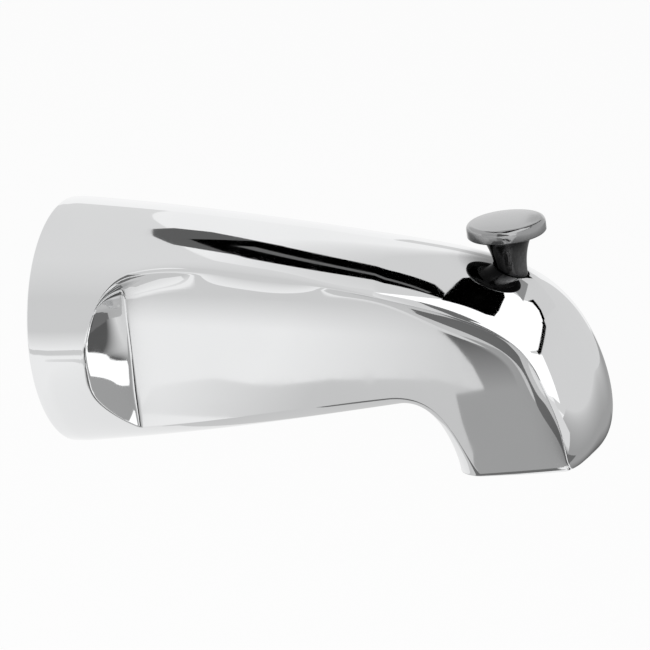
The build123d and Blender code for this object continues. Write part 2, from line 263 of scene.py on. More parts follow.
def spline_through(points, count):
    """A natural cubic curve through points, with count samples."""
    points = np.asarray(points, float)
    knots = np.concatenate([[0], np.cumsum(np.linalg.norm(np.diff(points, axis=0), axis=1))])
    gaps = np.diff(knots)
    n = len(points)
    rows = np.eye(n)
    right = np.zeros((n, 2))
    for i in range(1, n - 1):
        rows[i, i - 1:i + 2] = gaps[i - 1], 2 * (gaps[i - 1] + gaps[i]), gaps[i]
        right[i] = 6 * ((points[i + 1] - points[i]) / gaps[i] - (points[i] - points[i - 1]) / gaps[i - 1])
    bends = np.linalg.solve(rows, right)
    s = np.linspace(0, knots[-1], count)
    i = np.clip(np.searchsorted(knots, s) - 1, 0, n - 2)
    h = gaps[i][:, None]
    a = (knots[i + 1] - s)[:, None] / h
    b = 1 - a
    bowed = ((a ** 3 - a) * bends[i] + (b ** 3 - b) * bends[i + 1]) * h * h / 6
    return a * points[i] + b * points[i + 1] + bowed


def soft_min(a, b, blend):
    """The smaller of a and b, with a round blend where they cross."""
    mix = np.clip(0.5 + 0.5 * (b - a) / blend, 0, 1)
    return b + (a - b) * mix - blend * mix * (1 - mix)


def eased(value, start, full):
    """0 at start and 1 at full, with a smooth climb between."""
    t = min(max((value - start) / (full - start), 0.0), 1.0)
    return t * t * (3 - 2 * t)


# Points that the crease runs through, in millimetres: past the scoop's start, then past the neck
CREASE_RISE = [(-1.6, -6.0), (2.8, 7.8), (5.7, 13.1), (14.7, 16.9)]
CREASE_FALL = [(-30.0, 15.8), (8.5, 8.8), (25.2, 3.6), (36.0, -4.4), (39.3, -11.6), (42.0, -21.8)]
CREASE_SAMPLES = 6000
FLOOR_SAMPLES = 3000

# Angles of the samples of a half section, from the keel to the top, and a small step between two
ANGLES = np.linspace(0, math.pi, 1441)
NUDGE = 0.01

# Highest crease, as a share of a section's half height, and the least rounding, in metres
CREASE_TOP = 0.9995
LEAST = 1e-6

# How fast each rounding grows with the depth of the step under the crease
EDGE_GROWTH = 0.3
FILLET_GROWTH = 0.55
COVE_GROWTH = 1.6

# Shares of the step that the roundings take, and the share of the edge that a whole cove takes away
SOFT_EDGE_SHARE = 0.45
SOFT_FILLET_SHARE = 0.55
COVE_SHARE = 0.8
COVE_EDGE_LOSS = 0.75

# Share of the run out that counts as cut, and how samples crowd at the scoop's lower edge
CUT_SHARE = 1 / 8
CROWD = 7
CROWD_SPREAD = 0.07


class Horn:
    """The casting's skin: sections along the barrel and nose, with a scoop in each flank."""

    def __init__(self, casting, scoop, inset):
        self.c = casting
        self.s = scoop
        self.inset = inset
        c = casting
        self.front = c.barrel + c.reach
        heel = self.front - c.outlet_length
        self.nose_top = [
            (c.barrel, c.neck_height),
            (c.barrel + c.brow_pull, c.neck_height + c.neck_height_taper * c.brow_pull),
            (c.barrel + c.brow_x, c.brow_z),
            (c.barrel + c.cheek_x, c.cheek_z),
            (self.front + c.chin_x, c.chin_z - c.drop),
            (self.front, -c.drop),
        ]
        self.nose_keel = [
            (c.barrel, -c.neck_depth),
            (c.barrel + c.throat_pull, -c.neck_depth - c.neck_depth_taper * c.throat_pull),
            (c.barrel + c.throat_x, -c.throat_z),
            (heel, c.heel_pull - c.drop),
            (heel, -c.drop),
        ]
        # Mean pace of both profiles at the neck, where each is its curve's degree times its first handle
        pace = (5 * c.brow_pull + 4 * c.throat_pull) / 2
        neck_handle = c.neck_width + c.neck_width_taper * pace / 3
        self.nose_width = [c.neck_width, neck_handle, c.mouth_pull, c.outlet_width]
        self.scoop_end = scoop.start + scoop.slant
        floor = [
            (self.scoop_end, scoop.floor),
            (self.scoop_end + scoop.floor_pull_x, scoop.floor_pull_y),
            (self.front - scoop.taper_x, scoop.taper_y),
            (self.front + scoop.overrun, scoop.mouth),
        ]
        self.floor = bezier(floor, np.linspace(0, 1, FLOOR_SAMPLES))
        crease = [(scoop.start + x * MM, z * MM) for x, z in CREASE_RISE]
        crease += [(c.barrel + x * MM, z * MM) for x, z in CREASE_FALL]
        crease += [(self.front + scoop.foot, -c.drop), (self.front + scoop.foot / 2, -c.drop - c.base_r)]
        self.crease = spline_through(crease, CREASE_SAMPLES)
        self.crease[:, 1] += inset

    def barrel_size(self, x, neck, taper):
        """Half size of the barrel at x."""
        c = self.c
        run = c.barrel - c.lip
        t = np.clip((x - c.lip) / run, 0, None)
        handles = [c.base_r, c.base_r + c.wall_taper * run / 3, neck - taper * run / 3, neck]
        return float(bezier(handles, np.array([t]))[0])

    def section(self, place):
        """Top, keel, half width and squareness above and below of the section at place.

        The place runs from 0 to 1 along the barrel and on to 2 along the nose.
        """
        c = self.c
        if place <= 1:
            x = place * c.barrel
            top = np.array([x, self.barrel_size(x, c.neck_height, c.neck_height_taper)])
            keel = np.array([x, -self.barrel_size(x, c.neck_depth, c.neck_depth_taper)])
            width = self.barrel_size(x, c.neck_width, c.neck_width_taper)
            return top, keel, width, 2.0, 2 + (c.keel_squareness - 2) * eased(place, 0, 1)
        t = place - 1
        top = bezier(self.nose_top, np.array([t]))[:, 0]
        keel = bezier(self.nose_keel, np.array([t]))[:, 0]
        width = float(bezier(self.nose_width, np.array([t]))[0])
        crown = 2 + (c.outlet_squareness - 2) * t ** 2
        sole = c.keel_squareness + (c.outlet_squareness - c.keel_squareness) * t ** 2
        return top, keel, width, crown, sole

    def hull(self, place):
        """Middle, upward direction, half height, half width and plain outline of the section at place.

        The outline is that before the scoops are cut, as heights over the middle and as half widths.
        """
        top, keel, width, crown, sole = self.section(place)
        centre = (top + keel) / 2
        chord = (top - keel) / 2
        height = np.linalg.norm(chord)
        up = chord / height
        height = height - self.inset
        width = width - self.inset
        power = np.where(np.cos(ANGLES) > 0, sole, crown)
        across = np.abs(np.sin(ANGLES) / width) ** power
        along = np.abs(np.cos(ANGLES) / height) ** power
        radius = (across + along) ** (-1 / power)
        return centre, up, height, width, -radius * np.cos(ANGLES), radius * np.sin(ANGLES)

    def half_floor(self, x, z):
        """Half width between the scoops' floors and dished end walls at x and height z."""
        s = self.s
        x = x + self.inset
        slope = (self.c.base_r - s.floor) / s.slant
        rim = np.clip((self.scoop_end - x) / s.slant, 0, 1)
        dish = s.spoon * rim * np.clip(1 - ((z - s.spoon_z) / s.spoon_half) ** 2, 0, 1) ** 2
        lean = s.lean * rim * (np.clip(z - s.lean_z, 0, s.lean_rise) / s.lean_rise) ** 2
        wall = s.floor + (self.scoop_end - x - dish + lean) * slope
        floor = np.interp(x, self.floor[0], self.floor[1])
        return -soft_min(-wall, -floor, s.bend) - self.inset

    def crease_height(self, place, centre, up, height):
        """Height over a section's middle where the crease crosses it."""
        offset = self.crease - centre
        side = offset[:, 0] * up[1] - offset[:, 1] * up[0]
        crossings = np.nonzero(np.diff(np.sign(side)) > 0)[0]
        if len(crossings):
            i = crossings[0]
            mix = side[i] / (side[i] - side[i + 1])
            crease_u = float((offset[i] + (offset[i + 1] - offset[i]) * mix) @ up)
        else:
            crease_u = float(offset[0] @ up) if place < 1 else height
        return min(crease_u, height * CREASE_TOP)

    def softness(self, x):
        """How soft the crease is at x, from 0, sharp, to 1."""
        s = self.s
        return eased(x, s.soft_from, s.soft_full) * eased(x, s.soft_to, s.soft_fade)

    def outline(self, place, counts, trim):
        """Half outline of one section from the top to the keel, as rows of x, y, z on the +Y side."""
        hood_count, step_count, lower_count = counts
        s = self.s
        centre, up, height, width, hull_u, hull_y = self.hull(place)
        limit = self.half_floor(centre[0] + hull_u * up[0], centre[1] + hull_u * up[1])
        cut_y = soft_min(hull_y, limit, s.run_out)

        # The step under the crease: its outer and inner corner and the size of its roundings
        crease_u = self.crease_height(place, centre, up, height)
        crease_x = centre[0] + crease_u * up[0]
        crease_z = centre[1] + crease_u * up[1]
        soft = self.softness(crease_x)
        cove = eased(crease_x, s.cove_from, s.cove_full) * eased(crease_z, -s.cove_to, -s.cove_fade)
        brow_u = min(crease_u + soft * s.soft_rise, height * CREASE_TOP)
        corner = np.interp(brow_u, hull_u, ANGLES)
        corner_y = np.interp(corner, ANGLES, hull_y)
        level_y = np.interp(crease_u - s.cove_fall, hull_u, cut_y)
        shallow = math.tanh(max(corner_y - level_y, 0.0) / s.cove)
        floor_u = crease_u - soft * s.soft_fall - cove * shallow * s.cove_fall
        floor_y = np.interp(floor_u, hull_u, cut_y)
        depth = max(corner_y - floor_y, 0.0)
        edge = s.edge * math.tanh(EDGE_GROWTH * depth / s.edge) * (1 - COVE_EDGE_LOSS * cove) + LEAST
        fillet = s.fillet * math.tanh(FILLET_GROWTH * depth / s.fillet) + LEAST
        step = math.hypot(brow_u - floor_u, depth)
        edge_share = (edge + soft * (SOFT_EDGE_SHARE * step - edge)) / max(step, LEAST)
        fillet_share = (fillet + soft * (SOFT_FILLET_SHARE * step - fillet)) / max(step, LEAST)
        edge += soft * (s.soft_edge - edge)
        fillet += soft * (s.soft_fillet - fillet)
        fillet_share += cove * (COVE_SHARE - fillet_share)
        fillet += cove * (s.cove * math.tanh(COVE_GROWTH * depth / s.cove) - fillet)

        # The hood down to the crease, then both roundings of the step
        pace = math.hypot(np.interp(corner + NUDGE, ANGLES, hull_u) - brow_u,
                          np.interp(corner + NUDGE, ANGLES, hull_y) - corner_y) / NUDGE
        first = min(corner + edge / max(pace, LEAST), math.pi)
        last = np.interp(floor_u - fillet, hull_u, ANGLES)
        hood = np.linspace(math.pi, first, hood_count)
        hood = np.stack([np.interp(hood, ANGLES, hull_u), np.interp(hood, ANGLES, hull_y)], 1)
        t = np.linspace(0, 1, step_count)
        outer = np.array([brow_u, corner_y])
        inner = np.array([floor_u, floor_y])
        landing = (np.interp(last, ANGLES, hull_u), np.interp(last, ANGLES, cut_y))
        over = bezier([hood[-1], outer, outer + (inner - outer) * edge_share], t).T
        under = bezier([inner + (outer - inner) * fillet_share, inner, landing], t).T

        # The floor and the round skin below it, with close samples where they meet
        keep = ANGLES <= last
        below = ANGLES < last
        spare = np.nonzero(hull_y[below] - cut_y[below] > s.run_out * CUT_SHARE)[0]
        bend = ANGLES[spare[0]] if len(spare) else ANGLES[np.argmin((limit - hull_y)[below])]
        density = 1 + CROWD * np.exp(-((ANGLES - bend) / CROWD_SPREAD) ** 2)
        load = np.concatenate([[0], np.cumsum(density[keep])])[:-1]
        lower = np.interp(np.linspace(load[-1], 0, lower_count), load, ANGLES[keep])
        lower = np.stack([np.interp(lower, ANGLES, hull_u), np.interp(lower, ANGLES, cut_y)], 1)

        rows = np.concatenate([hood[:-1], over, under[:-1], lower])
        u = rows[:, 0] * (1 - trim / height)
        y = rows[:, 1] * (1 - trim / width)
        y[0] = 0
        y[-1] = 0
        return np.stack([centre[0] + u * up[0], y, centre[1] + u * up[1]], 1)


class Field:
    """One output of a node, used in sums as a number is."""

    def __init__(self, graph, socket):
        self.graph = graph
        self.socket = socket

    def sum(self, operation, *values):
        """A Math node on these values."""
        return self.graph.add("ShaderNodeMath", {"operation": operation}, dict(enumerate(values)))

    def __add__(self, other):
        return self.sum("ADD", self, other)

    def __sub__(self, other):
        return self.sum("SUBTRACT", self, other)

    def __rsub__(self, other):
        return self.sum("SUBTRACT", other, self)

    def __mul__(self, other):
        return self.sum("MULTIPLY", self, other)

    __radd__ = __add__
    __rmul__ = __mul__


class Graph:
    """The nodes of a material or of the world."""

    def __init__(self, owner):
        owner.use_nodes = True
        self.owner = owner
        self.tree = owner.node_tree
        self.tree.nodes.clear()

    def add(self, kind, settings=None, sockets=None, output=0):
        """A node of this kind, with its settings, and its sockets' values or links."""
        node = self.tree.nodes.new(kind)
        for name, value in (settings or {}).items():
            setattr(node, name, value)
        for name, value in (sockets or {}).items():
            if isinstance(value, Field):
                self.tree.links.new(value.socket, node.inputs[name])
            else:
                node.inputs[name].default_value = value
        return Field(self, node.outputs[output]) if node.outputs else None

    def place(self):
        """A point on the piece, in metres in its own frame."""
        return self.add("ShaderNodeTexCoord", output="Object")

    def noise(self, scale, detail, stretch=(1, 1, 1)):
        """Soft noise, with this many lumps in a metre, on a frame that is stretched along its axes."""
        spot = self.add("ShaderNodeMapping", {}, {"Vector": self.place(), "Scale": stretch})
        sockets = {"Vector": spot, "Scale": scale, "Detail": detail}
        return self.add("ShaderNodeTexNoise", {}, sockets, "Fac")

    def ramp(self, value, low, high):
        """0 below low and 1 above high, with a straight climb between."""
        return self.add("ShaderNodeMapRange", {}, {"Value": value, "From Min": low, "From Max": high})

    def tint(self, share, first, second):
        """A colour between two, by share."""
        sockets = {0: share, 6: (*first, 1), 7: (*second, 1)}
        return self.add("ShaderNodeMix", {"data_type": "RGBA"}, sockets, output=2)

    def bump(self, height, distance, strength=1.0):
        """A normal from a height, where 1 is distance metres high."""
        sockets = {"Height": height, "Distance": distance, "Strength": strength}
        return self.add("ShaderNodeBump", {}, sockets)

    def finish(self, sockets):
        """The Principled surface of the material."""
        surface = self.add("ShaderNodeBsdfPrincipled", {}, sockets)
        self.add("ShaderNodeOutputMaterial", {}, {"Surface": surface})
        return self.owner


def darker(colour, share):
    """The colour times a share."""
    return tuple(part * share for part in colour)


# Painted shade in sheltered corners: reach, share of open sky where it is darkest and brightest, darkest
# level
CASTING_PAINTED_SHADE = (8 * MM, 0.4, 0.9, 0.3)
# On the knob the painted shade reaches far and falls almost to black, standing in for the dark that the
# knob mirrors
KNOB_PAINTED_SHADE = (20 * MM, 0.84, 1.0, 0.02)


def chrome_plate(name, colour, polish, painted_shade):
    """Bright plate with painted shade darkening it in the corners, with faint clouding, smears and a slow
    ripple from buffing.
    """
    g = Graph(bpy.data.materials.new(name))
    reach, low, high, dark = painted_shade
    open_sky = g.add("ShaderNodeAmbientOcclusion", {"samples": 8}, {"Distance": reach}, "AO")
    cloud = g.noise(38, 2)
    smear = g.ramp(g.noise(160, 4, (1, 0.35, 1)), 0.52, 0.75)
    ripple = g.noise(26, 1, (0.6, 1, 1))
    # Painted shade: the colour falls towards its darkest level where little open sky is seen, mixed with
    # the faint clouding
    bright = g.ramp(open_sky, low, high) * (cloud * 0.1 + 0.95)
    return g.finish({
        "Base Color": g.tint(bright, darker(colour, dark), colour),
        "Metallic": 1.0,
        "Roughness": smear * 0.025 + polish,
        "Normal": g.bump(ripple, 0.0001, 0.6),
    })


def raw_casting(colour):
    """Unplated die casting: dull grey skin with a fine grain and darker pools."""
    g = Graph(bpy.data.materials.new("raw_casting"))
    grain = g.noise(2600, 5)
    pools = g.ramp(g.noise(120, 4), 0.35, 0.7)
    return g.finish({
        "Base Color": g.tint(pools * 0.7 + grain * 0.3, darker(colour, 0.62), colour),
        "Metallic": 0.75,
        "Roughness": 0.62 - pools * 0.16,
        "Normal": g.bump(grain, 0.00012),
    })


def machined_brass(name, colour, stretch):
    """Brass with tool marks along one direction and a dull bloom."""
    g = Graph(bpy.data.materials.new(name))
    marks = g.noise(900, 3, stretch)
    bloom = g.ramp(g.noise(140, 4), 0.4, 0.72)
    return g.finish({
        "Base Color": g.tint(bloom, colour, darker(colour, 0.66)),
        "Metallic": 1.0,
        "Roughness": 0.2 + bloom * 0.18 + marks * 0.06,
        "Normal": g.bump(marks, 0.00005, 0.7),
    })


def moulded_nylon(colour):
    """Natural nylon: ivory, a little uneven, with a satin skin."""
    g = Graph(bpy.data.materials.new("moulded_nylon"))
    cloud = g.noise(320, 3)
    skin = g.noise(4200, 2)
    return g.finish({
        "Base Color": g.tint(cloud, darker(colour, 0.9), colour),
        "Roughness": 0.38 + cloud * 0.14,
        "Normal": g.bump(skin, 0.00003),
    })


def black_rubber(colour):
    """Moulded rubber: near black, with a grey bloom and a fine tooth."""
    g = Graph(bpy.data.materials.new("black_rubber"))
    bloom = g.ramp(g.noise(260, 4), 0.45, 0.8)
    tooth = g.noise(6000, 2)
    return g.finish({
        "Base Color": g.tint(bloom * 0.35, colour, (0.09, 0.09, 0.092)),
        "Roughness": 0.58 + bloom * 0.2,
        "Normal": g.bump(tooth, 0.00004),
    })


def deselect():
    """Leaves nothing selected, in object mode."""
    if bpy.context.mode != "OBJECT":
        bpy.ops.object.mode_set(mode="OBJECT")
    bpy.ops.object.select_all(action="DESELECT")


def pick(piece):
    """Selects this piece alone."""
    deselect()
    piece.select_set(True)
    bpy.context.view_layer.objects.active = piece


# Distances below which points are merged: on the casting, on turned and copied pieces, on the thread
SKIN_MERGE = 2e-6
TURNED_MERGE = 1e-6
THREAD_MERGE = 1e-7

# Sides of the cylinders that bore and stand as bosses
ROD_SIDES = 128


def close_up(piece, threshold):
    """Merges doubles, caps open rims and turns the faces outwards."""
    pick(piece)
    bpy.ops.object.mode_set(mode="EDIT")
    bpy.ops.mesh.select_all(action="SELECT")
    bpy.ops.mesh.remove_doubles(threshold=threshold)
    bpy.ops.mesh.fill_holes(sides=0)
    bpy.ops.mesh.select_all(action="SELECT")
    bpy.ops.mesh.normals_make_consistent(inside=False)
    bpy.ops.object.mode_set(mode="OBJECT")
    return piece


def wrapped_grid(name, rings):
    """A closed skin through rings of points: a grid wrapped round and capped at both ends."""
    deselect()
    rings = np.asarray(rings)
    count, around = rings.shape[:2]
    bpy.ops.mesh.primitive_grid_add(x_subdivisions=around, y_subdivisions=count - 1, size=1)
    piece = bpy.context.object
    piece.name = name
    places = np.concatenate([rings, rings[:, :1]], axis=1).reshape(-1, 3)
    piece.data.vertices.foreach_set("co", places.ravel())
    piece.data.update()
    return close_up(piece, SKIN_MERGE)


def turned(name, profile, x, steps):
    """A turned piece: pairs of radius and height, spun about an upright axis at x."""
    deselect()
    bpy.ops.mesh.primitive_plane_add(size=MM)
    piece = bpy.context.object
    piece.name = name
    bpy.ops.object.mode_set(mode="EDIT")
    bpy.ops.mesh.merge(type="CENTER")
    bpy.ops.transform.translate(value=(x + profile[0][0], 0, profile[0][1]))
    for (radius, height), (next_radius, next_height) in zip(profile, profile[1:]):
        step = (next_radius - radius, 0, next_height - height)
        bpy.ops.mesh.extrude_vertices_move(TRANSFORM_OT_translate={"value": step})
    bpy.ops.mesh.select_all(action="SELECT")
    bpy.ops.mesh.spin(steps=steps, angle=2 * math.pi, center=(x, 0, 0), axis=(0, 0, 1))
    return close_up(piece, TURNED_MERGE)


def box_tool(x, y, z):
    """A box between pairs of limits."""
    deselect()
    bpy.ops.mesh.primitive_cube_add(size=1)
    tool = bpy.context.object
    bpy.ops.object.mode_set(mode="EDIT")
    bpy.ops.transform.resize(value=(x[1] - x[0], y[1] - y[0], z[1] - z[0]), center_override=(0, 0, 0))
    bpy.ops.transform.translate(value=((x[0] + x[1]) / 2, (y[0] + y[1]) / 2, (z[0] + z[1]) / 2))
    bpy.ops.object.mode_set(mode="OBJECT")
    return tool


def rod_tool(radius, start, end):
    """A fine cylinder between two points, along X or upright."""
    deselect()
    start = Vector(start)
    end = Vector(end)
    turn = (0, math.pi / 2, 0) if end.x > start.x else (0, 0, 0)
    bpy.ops.mesh.primitive_cylinder_add(vertices=ROD_SIDES, radius=radius, depth=(end - start).length,
                                        location=(start + end) / 2, rotation=turn)
    bpy.ops.object.transform_apply(location=True, rotation=True, scale=True)
    return bpy.context.object


def cut(piece, tool):
    """Cuts the tool out of the piece, and takes the tool away."""
    pick(piece)
    change = piece.modifiers.new("change", "BOOLEAN")
    change.operation = "DIFFERENCE"
    change.solver = "MANIFOLD"
    change.object = tool
    bpy.ops.object.modifier_apply(modifier=change.name)
    bpy.data.objects.remove(tool)
    if not piece.data.polygons:
        raise RuntimeError(f"{piece.name} came out empty")


def coat(piece, finishes, index):
    """Gives a piece these finishes, with all its faces in one of them."""
    piece.data.materials.clear()
    for finish in finishes:
        piece.data.materials.append(finish)
    piece.data.polygons.foreach_set("material_index", [index] * len(piece.data.polygons))


def dress(piece, body, node, angle):
    """Smooths a piece up to an angle, and puts it in its node's place on a body."""
    pick(piece)
    bpy.ops.object.shade_smooth_by_angle(angle=math.radians(angle))
    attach(piece, body)
    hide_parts(node)


# Stations of the skin along the barrel, in millimetres, as start, end and count
BARREL_SPANS = [(1.5, 10.7, 9), (11.0, 27.0, 51), (28.2, 88.0, 50)]
NOSE_STATIONS = 62

# Share of the nose with even stations, share that the outlet's rounding takes, and steps of a rounding
NOSE_EVEN = 0.985
OUTLET_ROUND = 0.012
ROUND_STEPS = 5

# Stations of the hollow along the barrel and the nose, and how far it runs out past both ends
HOLLOW_STATIONS = (45, 40)
HOLLOW_PAST = 2 * MM

# Points of a half section on the hood, on each rounding of the step and below them
SKIN_COUNTS = (36, 9, 84)
HOLLOW_COUNTS = (20, 5, 40)

# Place past every wall of the casting, to which tools run out
FAR = 0.1

# Finishes of the casting's faces
PLATED = 0
RAW = 1


class SPOUT_OT_casting(bpy.types.Operator):
    """Plated casting: horn, scoops and rims, hollow inside"""

    bl_idname = "bath_spout.casting"
    bl_label = "Casting"

    def execute(self, context):
        scene = context.scene
        c = scene.bath_spout_casting
        inside = scene.bath_spout_inside
        finish = scene.bath_spout_finish
        skin = self.skin(Horn(c, scene.bath_spout_scoop, 0.0))
        hollow = self.hollow(Horn(c, scene.bath_spout_scoop, c.wall))
        # The casting's plate carries painted shade in its corners
        plate = chrome_plate("chrome_plate", finish.chrome, finish.polish, CASTING_PAINTED_SHADE)
        finishes = (plate, raw_casting(finish.cast))
        for tool in self.inner_walls(inside):
            cut(hollow, tool)
        coat(skin, finishes, PLATED)
        coat(hollow, finishes, RAW)
        cut(skin, hollow)
        for tool in self.bores(inside):
            coat(tool, finishes, RAW)
            cut(skin, tool)
        dress(skin, "spout", "spout_body", 35)
        return {"FINISHED"}

    def skin(self, horn):
        """The outside, with close stations round the scoop's end and at the rims."""
        barrel = horn.c.barrel
        rim = horn.c.rim_round
        bends = [step / ROUND_STEPS * math.pi / 2 for step in range(ROUND_STEPS + 1)]
        stations = [(rim * (1 - math.cos(bend)) / barrel, rim * (1 - math.sin(bend))) for bend in bends]
        for start, end, count in BARREL_SPANS:
            stations += [(x * MM / barrel, 0.0) for x in np.linspace(start, end, count)]
        stations += [(1 + t, 0.0) for t in np.linspace(0, NOSE_EVEN, NOSE_STATIONS)[1:]]
        for bend in bends[1:]:
            stations.append((2 - OUTLET_ROUND * (1 - math.sin(bend)), rim * (1 - math.cos(bend))))
        rings = [self.ring(horn, place, trim, SKIN_COUNTS) for place, trim in stations]
        return wrapped_grid("chrome_casting", rings)

    def hollow(self, horn):
        """The room inside, run out past the wall rim and the outlet."""
        barrel, nose = (np.linspace(0, 1, count) for count in HOLLOW_STATIONS)
        places = [*barrel, *(1 + nose[1:])]
        rings = [self.ring(horn, place, 0.0, HOLLOW_COUNTS) for place in places]
        rings.insert(0, rings[0] - (HOLLOW_PAST, 0, 0))
        rings.append(rings[-1] - (0, 0, HOLLOW_PAST))
        return wrapped_grid("hollow", rings)

    def ring(self, horn, place, trim, counts):
        """A whole section, keel to top on the far side and back down on the near side."""
        half = horn.outline(place, counts, trim)
        return np.concatenate([half[::-1], half[1:-1] * (1, -1, 1)])

    def inner_walls(self, inside):
        """Bulkhead, boss, pad round the rod and the gate's rails, left standing in the hollow."""
        gate_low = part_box("diverter_gate")[0]
        bush_low, bush_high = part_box("guide_bush")
        rod = (bush_low + bush_high) / 2
        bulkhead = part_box("inlet_bushing")[0].x + inside.flange
        yield box_tool((bulkhead, bulkhead + inside.bulkhead), (-FAR, FAR), (-FAR, FAR))
        yield rod_tool(inside.boss, (bulkhead, 0, 0), (inside.seat, 0, 0))
        yield rod_tool(inside.pad, (rod.x, 0, bush_low.z), (rod.x, 0, FAR))
        for x in (inside.rail_back, inside.rail_front):
            for side in (-1, 1):
                y = sorted((side * inside.rail_gap, side * FAR))
                yield box_tool((x, x + inside.rail), y, (gate_low.z, FAR))

    def bores(self, inside):
        """Seat of the inlet bushing, water port, bush pocket and shank hole."""
        insert_low, insert_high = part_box("inlet_bushing")
        bush_low, bush_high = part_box("guide_bush")
        rod = (bush_low + bush_high) / 2
        seat_r = inside.boss - inside.boss_wall
        port = -inside.port_drop
        yield rod_tool(seat_r, (insert_low.x + inside.flange, 0, 0), (insert_high.x, 0, 0))
        yield rod_tool(inside.port, (insert_high.x - MM, 0, port), (inside.seat + MM, 0, port))
        yield rod_tool(inside.bush_pocket, (rod.x, 0, bush_low.z - MM), (rod.x, 0, bush_high.z))
        yield rod_tool(inside.shank_hole, (rod.x, 0, bush_high.z - MM), (rod.x, 0, FAR))


# Steps round the knob, and the rounding of its shank's foot
KNOB_STEPS = 192
FOOT_ROUND = 0.25 * MM


class SPOUT_OT_knob(bpy.types.Operator):
    """Lift knob: a shank that flares into a crowned disc, turned in one piece"""

    bl_idname = "bath_spout.knob"
    bl_label = "Lift knob"

    def execute(self, context):
        k = context.scene.bath_spout_knob
        finish = context.scene.bath_spout_finish
        low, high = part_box("lift_knob")
        foot = low.z
        top = high.z - k.crown
        rim = top - k.rim
        straight = foot + k.straight
        heel = [(k.shank - FOOT_ROUND, foot), (k.shank, foot), (k.shank, foot + FOOT_ROUND)]
        flare = [
            (k.shank, straight),
            (k.shank, (straight + rim) / 2),
            (k.shank_top, rim - k.flare),
            (k.shank_top + k.flare, rim),
        ]
        lower = [
            (k.radius - k.lower_edge, rim),
            (k.radius - k.lower_edge / 3, rim + k.lower_edge / 3),
            (k.radius, rim + k.lower_edge),
        ]
        edge = [(k.radius, top - k.edge), (k.radius, top), (k.radius - k.edge, top)]
        crown = [edge[-1], (k.radius / 2, top + k.crown), (0, top + k.crown)]
        profile = [(0, foot + k.bore_depth), (k.bore, foot + k.bore_depth), (k.bore, foot)]
        for handles, count in ((heel, 5), (flare, 26), (lower, 6), (edge, 14)):
            profile += self.curve(handles, count)
        profile += self.curve(crown, 18)[1:]
        knob = turned("chrome_knob", profile, (low.x + high.x) / 2, KNOB_STEPS)
        # The knob's plate is darker than the casting's, and painted shade darkens most of it
        plate = chrome_plate("chrome_knob_plate", finish.knob, finish.knob_polish, KNOB_PAINTED_SHADE)
        knob.data.materials.append(plate)
        dress(knob, "diverter", "lift_knob", 32)
        return {"FINISHED"}

    def curve(self, handles, count):
        """Samples of a Bezier curve as pairs."""
        return [tuple(pair) for pair in bezier(handles, np.linspace(0, 1, count)).T]


# Half width of the thread's groove as a share of the pitch, how far its tool stands proud of the crests,
# and its steps in a turn
GROOVE_HALF = 0.45
GROOVE_PROUD = 0.08 * MM
THREAD_STEPS = 96


class SPOUT_OT_bushing(bpy.types.Operator):
    """Inlet bushing: the brass insert with its pipe thread cut in the bore"""

    bl_idname = "bath_spout.bushing"
    bl_label = "Inlet bushing"

    def execute(self, context):
        inside = context.scene.bath_spout_inside
        finish = context.scene.bath_spout_finish
        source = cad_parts["inlet_bushing"]
        piece = bpy.data.objects.new("brass_bushing", source.data.copy())
        context.scene.collection.objects.link(piece)
        piece.data.materials.clear()
        close_up(piece, TURNED_MERGE)
        cut(piece, self.thread(inside))
        piece.data.materials.append(machined_brass("turned_brass", finish.brass, (1, 0.05, 0.05)))
        dress(piece, "spout", "inlet_bushing", 30)
        return {"FINISHED"}

    def thread(self, inside):
        """The groove of the pipe thread: a small triangle on a helix round the X axis."""
        low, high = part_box("inlet_bushing")
        deselect()
        bpy.ops.mesh.primitive_circle_add(vertices=3, radius=1)
        groove = bpy.context.object
        half = GROOVE_HALF * inside.pitch
        shallow = inside.pipe - GROOVE_PROUD
        deep = inside.pipe + inside.thread_depth
        start = low.x - inside.pitch
        corners = [(start - half, shallow, 0), (start + half, shallow, 0), (start, deep, 0)]
        groove.data.vertices.foreach_set("co", np.array(corners).ravel())
        groove.data.update()
        turns = groove.modifiers.new("turns", "SCREW")
        turns.axis = "X"
        turns.steps = THREAD_STEPS
        turns.render_steps = THREAD_STEPS
        turns.screw_offset = inside.pitch
        turns.iterations = math.ceil((high.x - low.x) / inside.pitch) + 2
        turns.use_merge_vertices = False
        bpy.ops.object.modifier_apply(modifier=turns.name)
        return close_up(groove, THREAD_MERGE)


class SPOUT_OT_diverter(bpy.types.Operator):
    """Finishes of the gate, its seal, the rod, the bush and its packing ring"""

    bl_idname = "bath_spout.diverter"
    bl_label = "Diverter and packing"

    def execute(self, context):
        finish = context.scene.bath_spout_finish
        milled_brass = machined_brass("milled_brass", finish.brass, (1, 1, 0.08))
        drawn_brass = machined_brass("drawn_brass", finish.brass, (1, 1, 0.02))
        rubber = black_rubber(finish.rubber)
        finishes = {
            "diverter_gate": milled_brass,
            "lift_rod": drawn_brass,
            "gate_seal": rubber,
            "rod_o_ring": rubber,
            "guide_bush": moulded_nylon(finish.nylon),
        }
        for node, material in finishes.items():
            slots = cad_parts[node].data.materials
            slots.clear()
            slots.append(material)
        return {"FINISHED"}


WHITE = (1, 1, 1, 1)

# Width of the camera's sensor in millimetres, and the farthest that it shows in metres
SENSOR = 36
CLIP_END = 20

# Place of the soft lamp, in metres
LAMP_PLACE = Vector((-0.9, -1.2, 2.2))


def panel_light(name, level, fades):
    """A card that glows at an even level, and fades to others along its axes."""
    g = Graph(bpy.data.materials.new(name))
    shade = level
    for axis, start, end, last in fades:
        across = g.add("ShaderNodeSeparateXYZ", {}, {"Vector": g.place()}, axis)
        shade = g.ramp(across, start * MM, end * MM) * (last - shade) + shade
    paint = shade if fades else (level, level, level, 1)
    glow = g.add("ShaderNodeEmission", {}, {"Color": paint, "Strength": 1.0})
    g.add("ShaderNodeOutputMaterial", {}, {"Surface": glow})
    return g.owner


